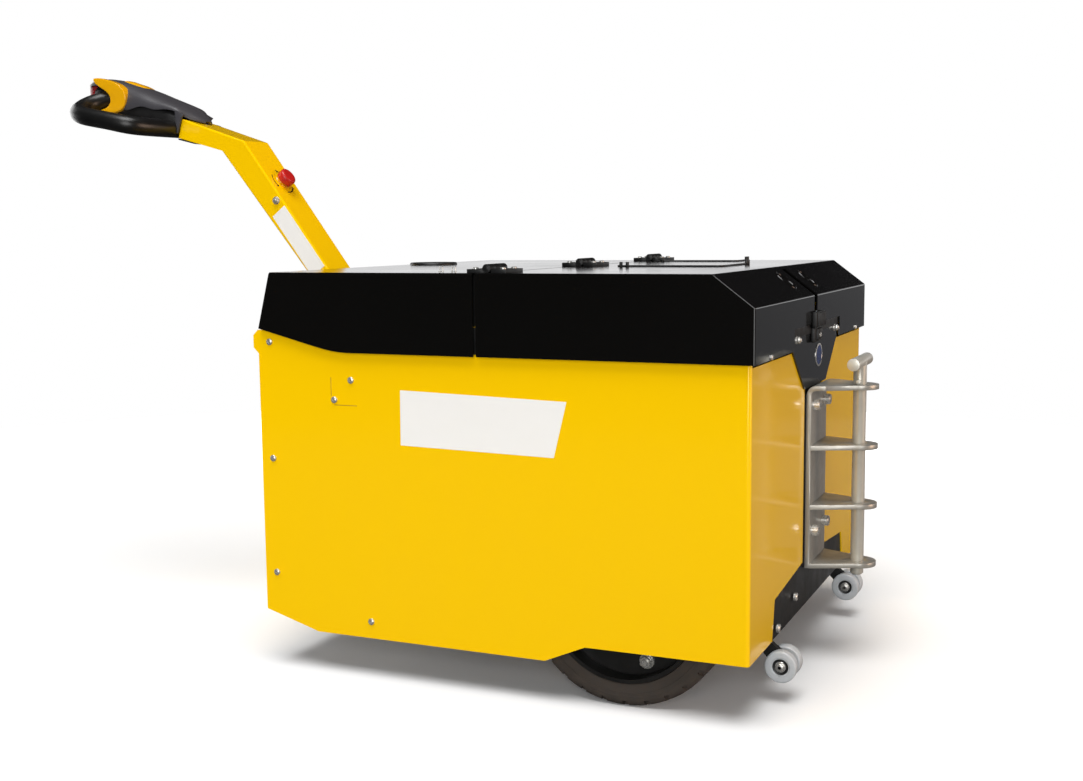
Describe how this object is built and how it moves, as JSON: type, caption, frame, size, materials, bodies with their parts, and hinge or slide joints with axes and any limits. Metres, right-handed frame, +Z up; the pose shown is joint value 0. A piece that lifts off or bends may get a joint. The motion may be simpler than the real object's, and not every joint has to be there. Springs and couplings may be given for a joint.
{
  "type": "pedestrian electric tow tractor",
  "caption": "Box-bodied electric tug with two drive wheels, rear swivel castor, steering handle arm, hinged lid and multi-height pin hitch.",
  "frame": {"origin": "on the floor under the middle of the overall length and width", "axes": "+X towards the pin hitch, +Y to the machine's left, +Z up"},
  "size_m": [1.69, 0.85, 1.082],
  "materials": {
    "yellow_paint": "gloss powder coat",
    "cover_black": "gloss powder coat",
    "frame_black": "satin paint",
    "moulded_black": "moulded",
    "zinc": "zinc plated",
    "drive_grey": "satin paint",
    "battery_case": "moulded",
    "tyre_rubber": "matt",
    "castor_rubber": "matt",
    "rim_black": "satin",
    "roller_grey": "moulded",
    "pod_grey": "moulded, fine grain",
    "grip_rubber": "satin",
    "lever_yellow": "moulded",
    "red_plastic": "moulded"
  },
  "bodies": {
    "root": {"frame_side_right": "frame_black", "frame_side_left": "frame_black", "battery_deck": "frame_black", "front_bulkhead": "frame_black", "rear_bulkhead": "frame_black", "bay_divider": "frame_black", "castor_beam": "frame_black", "roller_brackets": "frame_black", "side_panel_right": "yellow_paint", "side_panel_left": "yellow_paint", "rear_panel": "yellow_paint", "handle_arm": "yellow_paint", "arm_bracket": "yellow_paint", "front_vee_plate": "cover_black", "rear_cover": "cover_black", "hinge_rear_leaves": "moulded_black", "cover_cap": "moulded_black", "latch_keeper": "moulded_black", "hitch_bracket": "zinc", "hitch_screws": "zinc", "castor_mount": "zinc", "drive_unit": "drive_grey", "battery_blocks": "battery_case", "tiller_pod": "pod_grey", "grip_bow": "grip_rubber", "thumb_levers": "lever_yellow", "rear_button": "red_plastic", "stop_button": "red_plastic"},
    "lid": {"lid_shell": "cover_black", "hinge_lid_leaves": "moulded_black", "lid_rails": "moulded_black", "lid_latch": "moulded_black"},
    "pin": {"hitch_pin": "zinc"},
    "drive_wheel_right": {"drive_tyre_right": "tyre_rubber", "drive_rim_right": "rim_black"},
    "drive_wheel_left": {"drive_tyre_left": "tyre_rubber", "drive_rim_left": "rim_black"},
    "castor": {"castor_fork": "zinc"},
    "castor_wheels": {"castor_tyres": "castor_rubber", "castor_hubs": "rim_black"},
    "guide_rollers_right": {"roller_treads_right": "roller_grey", "roller_hubs_right": "rim_black"},
    "guide_rollers_left": {"roller_treads_left": "roller_grey", "roller_hubs_left": "rim_black"}
  },
  "joints": [
    {"name": "lid_hinge", "type": "hinge", "parent": "root", "child": "lid", "pos_m": [0.308, 0, 0.692], "axis": [0, -1, 0], "range_deg": [0, 85]},
    {"name": "pin_lift", "type": "slide", "parent": "root", "child": "pin", "axis": [0, 0, 1], "range_m": [0, 0.36]},
    {"name": "castor_swivel", "type": "hinge", "parent": "root", "child": "castor", "pos_m": [0.025, 0, 0.17], "axis": [0, 0, 1], "continuous": true},
    {"name": "castor_spin", "type": "hinge", "parent": "castor", "child": "castor_wheels", "pos_m": [-0.02, 0, 0.075], "axis": [0, 1, 0], "continuous": true},
    {"name": "drive_spin_right", "type": "hinge", "parent": "root", "child": "drive_wheel_right", "pos_m": [0.52, -0.345, 0.168], "axis": [0, 1, 0], "continuous": true},
    {"name": "roller_spin_right", "type": "hinge", "parent": "root", "child": "guide_rollers_right", "pos_m": [0.748, -0.258, 0.061], "axis": [0, 1, 0], "continuous": true},
    {"name": "drive_spin_left", "type": "hinge", "parent": "root", "child": "drive_wheel_left", "pos_m": [0.52, 0.345, 0.168], "axis": [0, 1, 0], "continuous": true},
    {"name": "roller_spin_left", "type": "hinge", "parent": "root", "child": "guide_rollers_left", "pos_m": [0.748, 0.258, 0.061], "axis": [0, 1, 0], "continuous": true}
  ]
}
